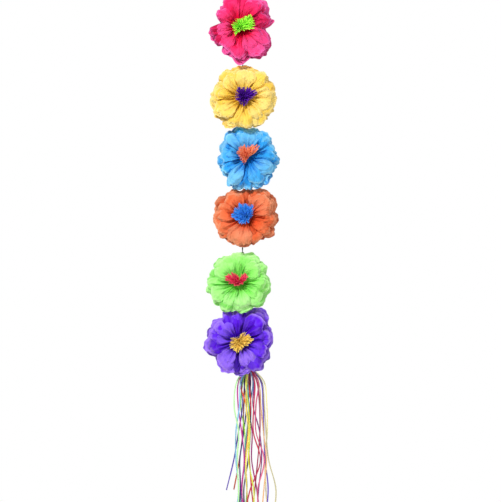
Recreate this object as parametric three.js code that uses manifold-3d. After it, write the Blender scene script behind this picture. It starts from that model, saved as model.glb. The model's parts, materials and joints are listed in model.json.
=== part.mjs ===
// Hanging swag of six tissue-paper flowers on linked stem wires, with a tail of narrow ribbons.
// Millimetres, +Z up, +X to the viewer's right. The flowers face -Y, and the origin is the point
// where the hanging loop bears on its hook.
import * as THREE from "three";
import Module from "manifold-3d";

const wasm = await Module();
wasm.setup();

// Driving dimensions of the swag
const flowerDiameter = 156;
const petalOverlap = 12;
const topStemLength = 97;
const ribbonLength = 420;
const clearance = 0.3;

const flowerRadius = flowerDiameter / 2;
const flowerPitch = flowerDiameter - petalOverlap;

// Stem and link wires: covered florist's wire, doubled and twisted, with an eye at each end
const wireThickness = 1.6;
const wireRadius = wireThickness / 2;
const twistPitch = 26;
const stepsPerTurn = 6;
const wireSides = 5;
const eyeBore = 4.4;
const eyeSteps = 8;
const eyePlay = 0.5;
const eyeRadius = eyeBore / 2 + wireRadius;
const loopBore = 12;
const loopSteps = 16;
const loopRadius = loopBore / 2 + wireRadius;
const linkSpan = 16;

// From a hinge's axis, which runs along one eye's wire, to the centre of the eye that hangs on it
const eyeHang = eyeRadius - wireThickness - eyePlay;

// Two strands side by side, as shares of one strand's thickness
const twinStrandShares = [[1, 0], [0.5, 0.5], [-0.5, 0.5], [-1, 0], [-0.5, -0.5], [0.5, -0.5]];

// Tissue: each layer stands for several plies gathered together on the neck of the fringe. The
// layers stand before the stem by a gap that grows with the flower, as their pleats get deeper.
const backThickness = 0.5;
const middleThickness = 0.4;
const frontThickness = 0.4;
const hubGapShare = 0.063;
const hubForward = wireThickness + hubGapShare * flowerRadius;
const layerStep = 1.5;
const neckRadius = 3.2;
const neckSides = 8;
const neckHole = neckRadius + clearance;

// Slopes are a rise for each unit of radius. The petals at the sides lean back, and the lower
// ones lean forward over the next flower.
const pleatSlope = 0.1;
const uprightPleatShare = 0.4;
const lowerLeanSlope = 0.16;
const samplesPerLobe = 4;
const scallopDepthShare = 0.1;
const layers = [
  {
    name: "back_petals", thickness: backThickness,
    rimShare: 1, cupShare: 0.03, curve: 1, sideSlope: 0.6, turn: 0,
  },
  {
    name: "middle_petals", thickness: middleThickness,
    rimShare: 0.9, cupShare: 0.07, curve: 1, sideSlope: 0.2, turn: 1,
  },
  {
    name: "front_petals", thickness: frontThickness,
    rimShare: 0.82, cupShare: 0.22, curve: 0.8, sideSlope: 0.06, turn: 0,
  },
];
const layerRingShares = [0, 0.4, 1];

// Fringe: cut strips that rise from the neck and splay to the outline in the flower's heart
const fringeReach = 30;
const fringeRise = 8;
const fringeHeight = 12;
const stripWidth = 11;
const stripThickness = 0.7;
const fringeRings = [
  { strips: 8, reachShare: 1, heightShare: 0.8 },
  { strips: 3, reachShare: 0.55, heightShare: 1 },
];
const stripKneeShare = 0.42;
const stripKneeHeightShare = 0.75;
const stripKneeWidthShare = 0.75;

// Where each flower hangs, in shares of the pitch and of the diameter, and how far it reaches.
// rimShares and fringeShares are the reach at every eighth of a turn, from the viewer's right and
// round by the top.
const flowers = [
  {
    name: "pink", petals: 0xf2235f, fringe: 0x75e533,
    hubShare: 0, sideShare: -0.03, lobes: 8,
    rimShares: [0.9, 1.04, 1.02, 0.92, 0.88, 0.94, 1.05, 1.06],
    fringeShares: [1, 1, 0.4, 0.48, 0.62, 0.72, 0.5, 0.62],
  },
  {
    name: "yellow", petals: 0xfadb5e, fringe: 0x33067a,
    hubShare: 1.11, sideShare: 0.015, lobes: 9,
    rimShares: [0.98, 0.99, 0.94, 0.94, 0.98, 0.96, 0.92, 1.02],
    fringeShares: [0.7, 0.94, 0.8, 0.87, 0.67, 0.55, 0.68, 0.57],
  },
  {
    name: "blue", petals: 0x49b4f5, fringe: 0xf2552f,
    hubShare: 2.07, sideShare: 0.07, lobes: 8,
    rimShares: [0.91, 0.91, 0.93, 0.91, 0.93, 0.94, 0.94, 0.86],
    fringeShares: [0.42, 0.98, 0.9, 0.93, 0.6, 0.62, 0.44, 0.4],
  },
  {
    name: "orange", petals: 0xef7a4a, fringe: 0x1770c6,
    hubShare: 3.01, sideShare: 0.055, lobes: 7,
    rimShares: [0.97, 1.03, 0.9, 0.97, 0.98, 0.99, 0.85, 0.93],
    fringeShares: [0.52, 0.78, 0.92, 1.02, 1.04, 0.68, 0.46, 0.42],
  },
  {
    name: "green", petals: 0xa3fb81, fringe: 0xd8174f,
    hubShare: 4.06, sideShare: -0.06, lobes: 9,
    rimShares: [0.93, 0.91, 0.89, 0.88, 0.98, 0.98, 0.89, 1],
    fringeShares: [0.52, 0.9, 0.5, 1.04, 0.78, 0.42, 0.4, 0.42],
  },
  {
    name: "purple", petals: 0x703aee, fringe: 0xf0b040,
    hubShare: 5, sideShare: -0.045, lobes: 8,
    rimShares: [1.01, 1.1, 0.98, 0.98, 1.01, 0.98, 1, 0.95],
    fringeShares: [1, 0.95, 0.44, 0.58, 0.64, 0.64, 0.8, 0.54],
  },
];

// Sideways place of each hinged link, above each flower but the first, as a share of its diameter
const linkSideShares = [0.005, 0.015, 0.01, 0, 0.02];

// Ribbon tail: its link hangs a little below the last hub, out of sight behind the petals
const tailDrop = 25;
const tailSide = 14;

// Ribbons: flat strips whose tops lie in rows and columns in a wire binding
const ribbonWidth = 3.2;
const ribbonThickness = 0.5;
const ribbonColumns = 3;
const columnGap = 0.6;
const layerGap = 0.5;
const bindingTurns = 3;
const bindingTurnGap = 0.7;
const bindingStepsPerTurn = 10;
const ribbonTopMargin = 1.5;
const stationsPerSway = 2;
const fanDepthShare = 0.085;

// Sideways sway of each ribbon from the binding's middle line, at these drops below the binding.
// A ribbon with fewer sways is a shorter one.
const swayDrops = [35, 90, 150, 215, 285, 355, 420];
const ribbons = [
  { name: "pale_green", colour: 0xb9f2a4, sways: [-27, -33, -23, -26, -23, -25, -29] },
  { name: "sky_blue_left", colour: 0x86c8ee, sways: [-18, -21, -29, -29, -23, -32, -39] },
  { name: "magenta_left", colour: 0xc4259a, sways: [-23, -24, -16, -10, -16, -6, -2] },
  { name: "orange", colour: 0xf0602c, sways: [-19, -6, -3, -9, -15, -11, -6] },
  { name: "violet_left", colour: 0x5a3fb0, sways: [-16, -14, -23, -34, -51] },
  { name: "lime", colour: 0xa6ee4e, sways: [-13, -18, -9, -8, -4, -11, -18] },
  { name: "navy_left", colour: 0x2a2a78, sways: [-10, -5, -11, -20, -19, -25, -29] },
  { name: "rust", colour: 0xc1512c, sways: [-9, -11, -13, -21, -34] },
  { name: "yellow_green", colour: 0xd8e24a, sways: [-6, -1, 3, 0, 12, 11, 17] },
  { name: "yellow", colour: 0xf8df63, sways: [-4, -6, 0, -6, -4, 3, 7] },
  { name: "teal", colour: 0x4f9aa0, sways: [-2, 0, -4, -10, -4, 0, -6] },
  { name: "red", colour: 0xd92a2a, sways: [0, 5, -2, 2, 7, 14, 10] },
  { name: "navy_middle", colour: 0x24205e, sways: [3, 5, 4, -1, -11, -6, 0] },
  { name: "magenta_wide", colour: 0xb51a8e, sways: [5, -1, 8, 7, 19, 26, 30] },
  { name: "sky_blue_right", colour: 0x7db7e8, sways: [10, 3, 0, -8, -16, -18, -13] },
  { name: "lilac", colour: 0x9a3f9e, sways: [12, 10, 25, 30, 23, 19, 23] },
  { name: "crimson_cross", colour: 0xc02048, sways: [14, 12, 11, 27, 3, -11, -16] },
  { name: "crimson", colour: 0xa01c50, sways: [19, 25, 26, 21, 14, 7, 3] },
  { name: "rose", colour: 0xe0608c, sways: [22, 17, 17, 36, 21, 25, 30] },
  { name: "tan", colour: 0xf0bd86, sways: [23, 28, 34, 41, 35, 30, 35] },
  { name: "violet_right", colour: 0x6a4cc0, sways: [28, 33, 35, 38, 45, 37, 26] },
  { name: "olive", colour: 0xcfc79a, sways: [30, 36, 40, 46, 63, 56, 51] },
  { name: "pale_yellow", colour: 0xf6efb0, sways: [35, 42, 43, 38, 40, 44, 37] },
];

const vector = (x, y, z) => new THREE.Vector3(x, y, z);

// Smooth reach at an angle, from shares given at equal parts of a turn
function shareAt(shares, angle) {
  const place = ((angle / (2 * Math.PI)) * shares.length + shares.length) % shares.length;
  const from = Math.floor(place) % shares.length;
  const ease = (1 - Math.cos((place - Math.floor(place)) * Math.PI)) / 2;
  return shares[from] * (1 - ease) + shares[(from + 1) % shares.length] * ease;
}

// Closed skin through sections of equal point counts: either round into a ring, or capped at both ends
function loft(sections, isRing = false) {
  const count = sections[0].length;
  const positions = sections.flat().flatMap((point) => [point.x, point.y, point.z]);
  const index = [];
  const last = isRing ? sections.length : sections.length - 1;
  for (let station = 0; station < last; station++) {
    const here = station * count;
    const next = ((station + 1) % sections.length) * count;
    for (let side = 0; side < count; side++) {
      const turn = (side + 1) % count;
      index.push(here + side, next + side, here + turn, here + turn, next + side, next + turn);
    }
  }
  if (!isRing) {
    const end = (sections.length - 1) * count;
    for (let side = 1; side < count - 1; side++) {
      index.push(0, side, side + 1, end, end + side + 1, end + side);
    }
  }
  return facingOut(positions, index);
}

// Indexed geometry whose triangles are turned, all alike, so that they enclose a positive volume
function facingOut(positions, index) {
  const corner = (i) => vector(positions[3 * i], positions[3 * i + 1], positions[3 * i + 2]);
  let volume = 0;
  for (let i = 0; i < index.length; i += 3) {
    volume += corner(index[i]).dot(corner(index[i + 1]).cross(corner(index[i + 2])));
  }
  if (volume < 0) index.reverse();
  const geometry = new THREE.BufferGeometry();
  geometry.setAttribute("position", new THREE.Float32BufferAttribute(positions, 3));
  geometry.setIndex(index);
  return geometry;
}

// Closed geometries that overlap, joined into one body
function joined(geometries) {
  const solids = geometries.map((geometry) => {
    const mesh = new wasm.Mesh({
      numProp: 3,
      vertProperties: Float32Array.from(geometry.getAttribute("position").array),
      triVerts: Uint32Array.from(geometry.getIndex().array),
    });
    return new wasm.Manifold(mesh);
  });
  const mesh = wasm.Manifold.union(solids).getMesh();
  const geometry = new THREE.BufferGeometry();
  geometry.setAttribute("position", new THREE.BufferAttribute(mesh.vertProperties, 3));
  geometry.setIndex(new THREE.BufferAttribute(mesh.triVerts, 1));
  return geometry;
}

// Sections swept along points: each section is a list of pairs, across and through, at its station.
// Through lies nearest to Y, and across is square to it and to the path.
function swept(points, sectionAt) {
  const depth = vector(0, 1, 0);
  const sections = points.map((point, station) => {
    const before = points[Math.max(station - 1, 0)];
    const after = points[Math.min(station + 1, points.length - 1)];
    const along = after.clone().sub(before).normalize();
    const across = along.clone().cross(depth).normalize();
    const through = across.clone().cross(along);
    return sectionAt(station).map(([a, t]) =>
      point.clone().addScaledVector(across, a).addScaledVector(through, t),
    );
  });
  return loft(sections);
}

// Round section of a wire, in the plane of two directions
function wireSection(centre, first, second) {
  return Array.from({ length: wireSides }, (_, side) => {
    const round = (side / wireSides) * 2 * Math.PI;
    return centre
      .clone()
      .addScaledVector(first, wireRadius * Math.cos(round))
      .addScaledVector(second, wireRadius * Math.sin(round));
  });
}

// A closed ring of wire about an axis through its centre, "x" or "y"
function wireRing(centre, radius, steps, axis) {
  const isFacing = axis === "y";
  const sideways = isFacing ? vector(0, 1, 0) : vector(1, 0, 0);
  const sections = Array.from({ length: steps }, (_, step) => {
    const angle = (step / steps) * 2 * Math.PI;
    const level = Math.cos(angle);
    const outward = vector(isFacing ? level : 0, isFacing ? 0 : level, Math.sin(angle));
    return wireSection(centre.clone().addScaledVector(outward, radius), outward, sideways);
  });
  return loft(sections, true);
}

// Two strands of wire twisted about each other along a smooth path
function twistedWire(places) {
  const path = new THREE.CatmullRomCurve3(places, false, "centripetal");
  const steps = Math.max(2, Math.round((path.getLength() / twistPitch) * stepsPerTurn));
  return swept(path.getSpacedPoints(steps), (station) => {
    const turn = (station / stepsPerTurn) * 2 * Math.PI;
    return twinStrandShares.map(([a, t]) => [
      wireThickness * (a * Math.cos(turn) - t * Math.sin(turn)),
      wireThickness * (a * Math.sin(turn) + t * Math.cos(turn)),
    ]);
  });
}

const hubOf = (flower) =>
  vector(flower.sideShare * flowerDiameter, 0, -topStemLength - flower.hubShare * flowerPitch);

// Each link hangs in the middle of its gap; its upper and lower hinge axes are a link span apart
function linkPlaces() {
  const places = linkSideShares.map((sideShare, gap) => {
    const middle = (hubOf(flowers[gap]).z + hubOf(flowers[gap + 1]).z) / 2;
    return vector(sideShare * flowerDiameter, 0, middle);
  });
  const lastHub = hubOf(flowers.at(-1));
  places.push(vector(tailSide, 0, lastHub.z - tailDrop - linkSpan / 2));
  return places;
}
const links = linkPlaces();
const upperAxis = (link) => link.clone().setZ(link.z + linkSpan / 2);
const lowerAxis = (link) => link.clone().setZ(link.z - linkSpan / 2);

// Link wire: its eyes stand square to the swag's face, so that the stems' eyes, which lie along
// the face, hook into them
function linkWire(link) {
  const upperEye = upperAxis(link).setZ(upperAxis(link).z - eyeHang);
  const lowerEye = lowerAxis(link).setZ(lowerAxis(link).z + eyeRadius);
  const shank = twistedWire([
    vector(link.x, 0, upperEye.z - eyeRadius),
    vector(link.x, 0, lowerEye.z + eyeRadius),
  ]);
  return joined([
    wireRing(upperEye, eyeRadius, eyeSteps, "x"),
    shank,
    wireRing(lowerEye, eyeRadius, eyeSteps, "x"),
  ]);
}

// Stem wire: from the eye that hangs in the link above, behind the hub, to the eye that holds the
// next link, with the binding ring round the fringe's neck. The first stem has the hanging loop.
function stemWire(order) {
  const hub = hubOf(flowers[order]);
  const isFirst = order === 0;
  const topRadius = isFirst ? loopRadius : eyeRadius;
  const top = isFirst ? vector(0, 0, -loopBore / 2) : lowerAxis(links[order - 1]);
  if (!isFirst) top.z -= eyeHang;
  const bottom = upperAxis(links[order]);
  bottom.z += eyeRadius;
  const bindingRadius = neckHole + wireRadius;
  const shank = twistedWire([
    vector(top.x, 0, top.z - topRadius),
    vector(hub.x, 0, hub.z + bindingRadius),
    vector(hub.x, 0, hub.z - bindingRadius),
    vector(bottom.x, 0, bottom.z + eyeRadius),
  ]);
  return joined([
    wireRing(top, topRadius, isFirst ? loopSteps : eyeSteps, "y"),
    shank,
    wireRing(vector(hub.x, -wireThickness, hub.z), bindingRadius, eyeSteps, "y"),
    wireRing(bottom, eyeRadius, eyeSteps, "y"),
  ]);
}

// One layer of gathered tissue: a thin ruffled sheet round the neck, pleated like its neighbours
function petalLayer(flower, layer, order) {
  const hub = hubOf(flower);
  const sectors = flower.lobes * samplesPerLobe;
  const rimRadius = flowerRadius * layer.rimShare;
  const sheetPoint = (ringShare, angle, offset) => {
    const scallop = Math.abs(Math.sin((flower.lobes * angle) / 2 + (layer.turn * Math.PI) / 2));
    const scallopShare = 1 - scallopDepthShare * (1 - scallop);
    const rim = rimRadius * shareAt(flower.rimShares, angle) * scallopShare;
    const radius = neckHole + (rim - neckHole) * ringShare;
    const side = Math.cos(angle) ** 2;
    const low = Math.max(0, -Math.sin(angle)) ** 2;
    const pleatShare = uprightPleatShare + (1 - uprightPleatShare) * side;
    const pleat = pleatSlope * pleatShare * Math.cos(flower.lobes * angle);
    const cup = layer.cupShare * rimRadius * (radius / rimRadius) ** layer.curve;
    const lean = lowerLeanSlope * low - layer.sideSlope * side ** 2 - pleat;
    const forward = hubForward + order * layerStep + cup + radius * lean;
    return vector(hub.x + radius * Math.cos(angle), offset - forward, hub.z + radius * Math.sin(angle));
  };
  const sections = [];
  for (let sector = 0; sector < sectors; sector++) {
    const angle = (sector / sectors) * 2 * Math.PI;
    const face = layerRingShares.map((share) => sheetPoint(share, angle, -layer.thickness / 2));
    const back = layerRingShares.map((share) => sheetPoint(share, angle, layer.thickness / 2));
    sections.push([...face, ...back.reverse()]);
  }
  return loft(sections, true);
}

// Fringe strip: from the neck it rises, bends over a knee and ends at its share of the outline
function fringeStrip(hub, base, angle, reach, height) {
  const outward = vector(Math.cos(angle), 0, Math.sin(angle));
  const sideways = vector(-Math.sin(angle), 0, Math.cos(angle));
  const stations = [
    { out: neckRadius / 2, forward: base, width: neckRadius },
    {
      out: reach * stripKneeShare,
      forward: base + height * stripKneeHeightShare,
      width: stripWidth * stripKneeWidthShare,
    },
    { out: reach, forward: base + height, width: stripWidth },
  ];
  return loft(
    stations.map(({ out, forward, width }) => {
      const middle = vector(hub.x, -forward, hub.z).addScaledVector(outward, out);
      return [[-1, -1], [1, -1], [1, 1], [-1, 1]].map(([w, t]) =>
        middle.clone().addScaledVector(sideways, (w * width) / 2).add(vector(0, (t * stripThickness) / 2, 0)),
      );
    }),
  );
}

// Fringed centre: rings of strips on a neck that reaches back through the petals to the stem wire
function fringeCentre(flower) {
  const hub = hubOf(flower);
  const base = hubForward + (layers.length - 1) * layerStep + fringeRise;
  const neckEnds = [wireThickness + clearance, base + 2 * stripThickness];
  const neck = loft(
    neckEnds.map((forward) =>
      Array.from({ length: neckSides }, (_, side) => {
        const angle = ((side + 0.5) / neckSides) * 2 * Math.PI;
        return vector(hub.x + neckRadius * Math.cos(angle), -forward, hub.z + neckRadius * Math.sin(angle));
      }),
    ),
  );
  // Every other strip stands half a thickness forward, so that no two lie in one plane
  const strips = fringeRings.flatMap(({ strips: count, reachShare, heightShare }) =>
    Array.from({ length: count }, (_, strip) => {
      const angle = (strip / count) * 2 * Math.PI;
      const reach = fringeReach * reachShare * shareAt(flower.fringeShares, angle);
      const stagger = ((strip % 2) * stripThickness) / 2;
      return fringeStrip(hub, base + stagger, angle, reach, fringeHeight * heightShare);
    }),
  );
  return joined([neck, ...strips]);
}

// The ribbons' tops: rows one behind another, in columns side by side
const columnStep = ribbonWidth + columnGap;
const depthStep = ribbonThickness + layerGap;
const ribbonRows = Math.ceil(ribbons.length / ribbonColumns);
const bundleWidth = ribbonColumns * columnStep - columnGap;
const bundleDepth = ribbonRows * depthStep - layerGap;

// Binding wire, wound round the bundle and led up its middle line to the eye
const bindingAcross = bundleWidth / 2 + clearance + wireRadius;
const bindingThrough = bundleDepth / 2 + clearance + wireRadius;
const bindingPitch = wireThickness + bindingTurnGap;
const bindingHeight = bindingTurns * bindingPitch;
const tailEye = lowerAxis(links.at(-1));
tailEye.z -= eyeHang;
const bindingTop = tailEye.z - eyeRadius - bindingPitch;
const ribbonTop = bindingTop - wireRadius - ribbonTopMargin;

// The winding goes round the bundle as an oval, wide enough to clear the corners of its rows
function ribbonBinding() {
  const cornerShare = Math.SQRT2;
  const up = vector(0, 0, 1);
  const windings = [];
  for (let step = 0; step <= bindingTurns * bindingStepsPerTurn; step++) {
    const turns = step / bindingStepsPerTurn;
    const outward = vector(Math.cos(turns * 2 * Math.PI), Math.sin(turns * 2 * Math.PI), 0);
    const middle = vector(
      tailEye.x + bindingAcross * cornerShare * outward.x,
      bindingThrough * cornerShare * outward.y,
      ribbonTop - turns * bindingPitch,
    );
    windings.push(wireSection(middle, outward, up));
  }
  const start = vector(tailEye.x + bindingAcross * cornerShare, 0, ribbonTop);
  const across = vector(1, 0, 0);
  const through = vector(0, 1, 0);
  const shank = [
    vector(tailEye.x, 0, tailEye.z - eyeRadius),
    vector(tailEye.x, 0, bindingTop - wireRadius),
  ];
  const arm = [vector(tailEye.x, 0, bindingTop), vector(start.x, 0, bindingTop)];
  const drop = [vector(start.x, 0, bindingTop + wireRadius), start];
  return joined([
    wireRing(tailEye, eyeRadius, eyeSteps, "y"),
    loft(shank.map((place) => wireSection(place, across, through))),
    loft(arm.map((place) => wireSection(place, up, through))),
    loft(drop.map((place) => wireSection(place, across, through))),
    loft(windings),
  ]);
}

// Place of a ribbon's middle line at a drop below the ribbons' top
function ribbonPath(ribbon, order) {
  const column = Math.floor(order / ribbonRows);
  const top = (column - (ribbonColumns - 1) / 2) * columnStep;
  const lengthScale = ribbonLength / swayDrops.at(-1);
  const knots = [vector(top, 0, 0), vector(top, 0, -bindingHeight - ribbonTopMargin)];
  ribbon.sways.forEach((sway, knot) => {
    knots.push(vector(sway, 0, -bindingHeight - ribbonTopMargin - swayDrops[knot] * lengthScale));
  });
  return new THREE.CatmullRomCurve3(knots, false, "centripetal");
}

// Depth of a ribbon at a height: close rows in the binding, then a layer of its own for each ribbon
function ribbonDepth(order, drop) {
  const row = order % ribbonRows;
  const column = Math.floor(order / ribbonRows);
  const fan = THREE.MathUtils.smoothstep(drop - bindingHeight, 0, ribbonLength * fanDepthShare);
  const inBinding = (row - (ribbonRows - 1) / 2) * depthStep;
  const inTail = (row * ribbonColumns + column - (ribbons.length - 1) / 2) * depthStep;
  return inBinding * (1 - fan) + inTail * fan;
}

function ribbonStrip(ribbon, order) {
  const path = ribbonPath(ribbon, order);
  const points = path.getPoints(stationsPerSway * (path.points.length - 1));
  const sections = points.map((point, station) => {
    const before = points[Math.max(station - 1, 0)];
    const after = points[Math.min(station + 1, points.length - 1)];
    const along = after.clone().sub(before).normalize();
    const across = vector(-along.z, 0, along.x);
    return [[-1, -1], [1, -1], [1, 1], [-1, 1]].map(([w, t]) => {
      const edge = point.clone().addScaledVector(across, (w * ribbonWidth) / 2);
      return vector(
        tailEye.x + edge.x,
        ribbonDepth(order, -edge.z) + (t * ribbonThickness) / 2,
        ribbonTop + edge.z,
      );
    });
  });
  return loft(sections);
}

// Materials: tissue and ribbon are matt, the covered wire is dark green
const finish = (color, roughness, metalness = 0) =>
  new THREE.MeshStandardMaterial({ color, roughness, metalness });
const paper = (colour) => finish(colour, 0.9);
const satin = (colour) => finish(colour, 0.5);
const wirePaint = finish(0x3f5a44, 0.7, 0.1);

const swag = new THREE.Group();

function add(name, geometry, material) {
  const mesh = new THREE.Mesh(geometry, material);
  mesh.name = name;
  swag.add(mesh);
}

flowers.forEach((flower, order) => {
  add(`${flower.name}_stem_wire`, stemWire(order), wirePaint);
  layers.forEach((layer, depth) => {
    add(`${flower.name}_${layer.name}`, petalLayer(flower, layer, depth), paper(flower.petals));
  });
  add(`${flower.name}_fringe`, fringeCentre(flower), paper(flower.fringe));
});
links.forEach((link, gap) => add(`link_wire_${gap + 1}`, linkWire(link), wirePaint));
add("ribbon_binding", ribbonBinding(), wirePaint);
ribbons.forEach((ribbon, order) => {
  add(`ribbon_${ribbon.name}`, ribbonStrip(ribbon, order), satin(ribbon.colour));
});

export default swag;
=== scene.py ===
# Dresses the hanging swag: six flowers of gathered tissue with fringed hearts, twisted stem wires
# and a tail of satin ribbons, over a pale floor. Metres, +Z up, and the flowers face -Y.
import json
import math
import random

import bmesh
import bpy
import numpy as np
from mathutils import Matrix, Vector, noise


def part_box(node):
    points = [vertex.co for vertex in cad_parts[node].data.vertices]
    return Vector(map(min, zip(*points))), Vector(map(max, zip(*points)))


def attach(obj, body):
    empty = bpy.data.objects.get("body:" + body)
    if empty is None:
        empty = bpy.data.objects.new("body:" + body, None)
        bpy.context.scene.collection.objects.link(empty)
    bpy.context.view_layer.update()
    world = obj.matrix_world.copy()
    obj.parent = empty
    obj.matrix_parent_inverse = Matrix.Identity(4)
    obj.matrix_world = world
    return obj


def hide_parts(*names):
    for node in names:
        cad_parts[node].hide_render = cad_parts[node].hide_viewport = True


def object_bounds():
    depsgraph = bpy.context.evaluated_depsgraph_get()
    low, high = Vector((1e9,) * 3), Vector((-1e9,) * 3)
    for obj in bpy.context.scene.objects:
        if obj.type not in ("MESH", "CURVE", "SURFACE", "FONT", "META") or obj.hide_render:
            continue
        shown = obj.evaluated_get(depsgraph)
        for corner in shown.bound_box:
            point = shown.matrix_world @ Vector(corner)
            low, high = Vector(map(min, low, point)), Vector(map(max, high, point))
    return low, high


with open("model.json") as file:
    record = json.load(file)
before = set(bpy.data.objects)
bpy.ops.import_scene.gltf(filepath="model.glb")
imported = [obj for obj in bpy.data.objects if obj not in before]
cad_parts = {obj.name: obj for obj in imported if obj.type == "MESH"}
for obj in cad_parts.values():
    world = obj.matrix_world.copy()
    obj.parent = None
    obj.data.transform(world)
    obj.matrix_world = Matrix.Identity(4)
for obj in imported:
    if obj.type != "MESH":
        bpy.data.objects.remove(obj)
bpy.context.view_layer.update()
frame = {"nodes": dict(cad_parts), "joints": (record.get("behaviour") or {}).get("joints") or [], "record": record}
scene = bpy.context.scene

MM = 0.001
TURN = math.tau

# The flowers from the top down. Petals part at the given degrees, from the viewer's right and round
# by the top, on the back layers and on the front layer, whose petals also have painted light and
# shade, from -1, deep, to 1, pale. The rim shares are the reach of the petals at 24 equal steps, from
# the same start. The heart is the outline of the fringe in millimetres from the hub, x to the right and
# z up. The tissue's colours are those by the heart, in the middle, further out, at the edge and in the
# folds: deeper by the heart as painted shade where plies overlap, paler at the edge as painted light
# through the single ply, and in the folds painted shade. The fringe's are those deep down, painted
# shade, along the strips, and at their tips, painted light.
FLOWER_RADIUS = 78 * MM
FLOWERS = [
    {
        "name": "pink",
        "seed": 11,
        "partings": [0, 20, 62, 92, 118, 172, 200, 226, 250, 290, 323],
        "front_partings": [42, 72, 98, 128, 168, 205, 248, 278, 348],
        "front_light_and_shade": [0.0, -0.2, 0.2, 0.4, 0.5, 0.4, 0.3, 0.5, -0.7],
        "rim_shares": [
            0.74, 0.99, 0.92, 1.04, 0.98, 1.0, 1.02, 1.0, 0.95, 0.85, 0.84, 0.66,
            0.84, 0.88, 0.86, 0.78, 0.9, 0.95, 1.02, 1.0, 0.98, 1.05, 1.07, 0.88,
        ],
        "tissue": ["e60038", "f20640", "f22468", "f670bc", "a4002a"],
        "heart": [(22, 26), (29, 16), (31, -5), (4, -9), (-12, -20), (-19, 4), (-9, 16)],
        "fringe": ["48c024", "80fc40", "b0ff50"],
    },
    {
        "name": "yellow",
        "seed": 23,
        "partings": [12, 32, 62, 110, 152, 195, 228, 258, 285, 320, 345],
        "front_partings": [20, 62, 108, 152, 178, 206, 236, 262, 290, 330],
        "front_light_and_shade": [0.2, 0.9, 0.3, -0.2, -0.3, 0.4, 0.2, 0.3, 0.6, 0.8],
        "rim_shares": [
            0.93, 0.95, 0.92, 0.93, 0.91, 0.9, 0.88, 0.9, 0.93, 0.92, 0.92, 0.87,
            0.94, 0.97, 0.95, 0.94, 0.97, 0.9, 0.89, 0.99, 0.96, 0.97, 0.94, 0.96,
        ],
        "tissue": ["f8ce3c", "fed444", "fcd858", "fae89c", "f4c44c"],
        "heart": [(-14, 21), (11, 20), (31, 10), (17, -5), (1, -23), (-19, -3)],
        "fringe": ["160044", "320886", "5a1ca6"],
    },
    {
        "name": "blue",
        "seed": 37,
        "partings": [8, 30, 62, 90, 118, 141, 170, 200, 228, 246, 263, 281, 300, 325, 348],
        "front_partings": [15, 36, 62, 118, 141, 190, 226, 257, 270, 316, 348],
        "front_light_and_shade": [-0.5, -0.4, 0.5, 0.6, 0.3, -0.4, 0.9, -1.0, 0.3, 0.7, -0.1],
        "rim_shares": [
            0.9, 0.85, 0.85, 0.84, 0.9, 0.88, 0.86, 0.91, 0.9, 0.87, 0.83, 0.83,
            0.88, 0.9, 0.85, 0.84, 0.98, 0.94, 0.91, 0.93, 0.98, 0.83, 0.84, 0.9,
        ],
        "tissue": ["2094ec", "2ca4f2", "38b0f4", "98dcf8", "1276d6"],
        "heart": [(-24, 10), (-14, 26), (21, 27), (28, 19), (6, 4), (-7, -18)],
        "fringe": ["e84822", "ff6a40", "ff9a70"],
    },
    {
        "name": "orange",
        "seed": 41,
        "partings": [12, 40, 78, 100, 140, 172, 205, 228, 284, 312, 340],
        "front_partings": [5, 78, 100, 150, 190, 222, 285, 310, 340],
        "front_light_and_shade": [0.6, -0.8, 0.1, 0.4, 0.2, 0.7, -0.5, 0.0, -0.2],
        "rim_shares": [
            0.93, 0.91, 0.96, 0.99, 0.9, 0.84, 0.8, 0.8, 0.86, 0.9, 0.95, 0.91,
            0.95, 0.93, 0.96, 0.96, 0.88, 0.86, 0.87, 0.88, 0.76, 0.92, 0.97, 0.92,
        ],
        "tissue": ["ea4824", "f46232", "ee7444", "f2a67e", "b02a0c"],
        "heart": [(-35, 0), (-15, 27), (13, 27), (16, 9), (6, -14), (-12, -18)],
        "fringe": ["04387c", "1874d8", "46a0fa"],
    },
    {
        "name": "green",
        "seed": 59,
        "partings": [20, 45, 75, 105, 150, 185, 205, 230, 262, 300, 335],
        "front_partings": [20, 64, 110, 168, 192, 228, 262, 300, 345],
        "front_light_and_shade": [0.3, -0.5, 0.4, 0.3, 0.5, 0.6, 0.7, 0.2, -0.2],
        "rim_shares": [
            0.9, 0.88, 0.9, 0.9, 0.88, 0.86, 0.84, 0.84, 0.85, 0.87, 0.88, 0.83,
            0.94, 0.95, 0.88, 0.95, 0.91, 0.87, 0.84, 0.85, 0.86, 0.93, 0.92, 0.94,
        ],
        "tissue": ["80f050", "96fa6c", "a4fa7e", "ccfeb0", "66d648"],
        "heart": [(-33, 12), (-14, 22), (3, 14), (15, 22), (22, 12), (15, 0), (1, -10), (-19, -3)],
        "fringe": ["90081e", "ea164c", "fa4c74"],
    },
    {
        "name": "purple",
        "seed": 67,
        "partings": [28, 79, 104, 124, 152, 175, 208, 263, 292, 318, 346],
        "front_partings": [27, 74, 86, 120, 152, 185, 212, 256, 271, 320, 355],
        "front_light_and_shade": [-0.3, -1.0, -0.2, 0.7, 0.4, -0.7, 1.0, -1.0, 0.9, 0.2, -0.7],
        "rim_shares": [
            0.97, 1.0, 1.01, 1.07, 1.07, 0.94, 0.9, 0.94, 0.9, 0.91, 1.01, 1.0,
            0.99, 1.0, 0.89, 0.9, 0.98, 0.98, 0.98, 0.95, 0.95, 0.98, 0.97, 0.96,
        ],
        "tissue": ["3a02cc", "6218f4", "681ef2", "b890fc", "1a026e"],
        "heart": [(-20, 6), (0, 12), (12, 23), (31, 4), (15, -9), (-3, -25), (-21, -12)],
        "fringe": ["d8861c", "ffc04a", "ffdc6c"],
    },
]

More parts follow.
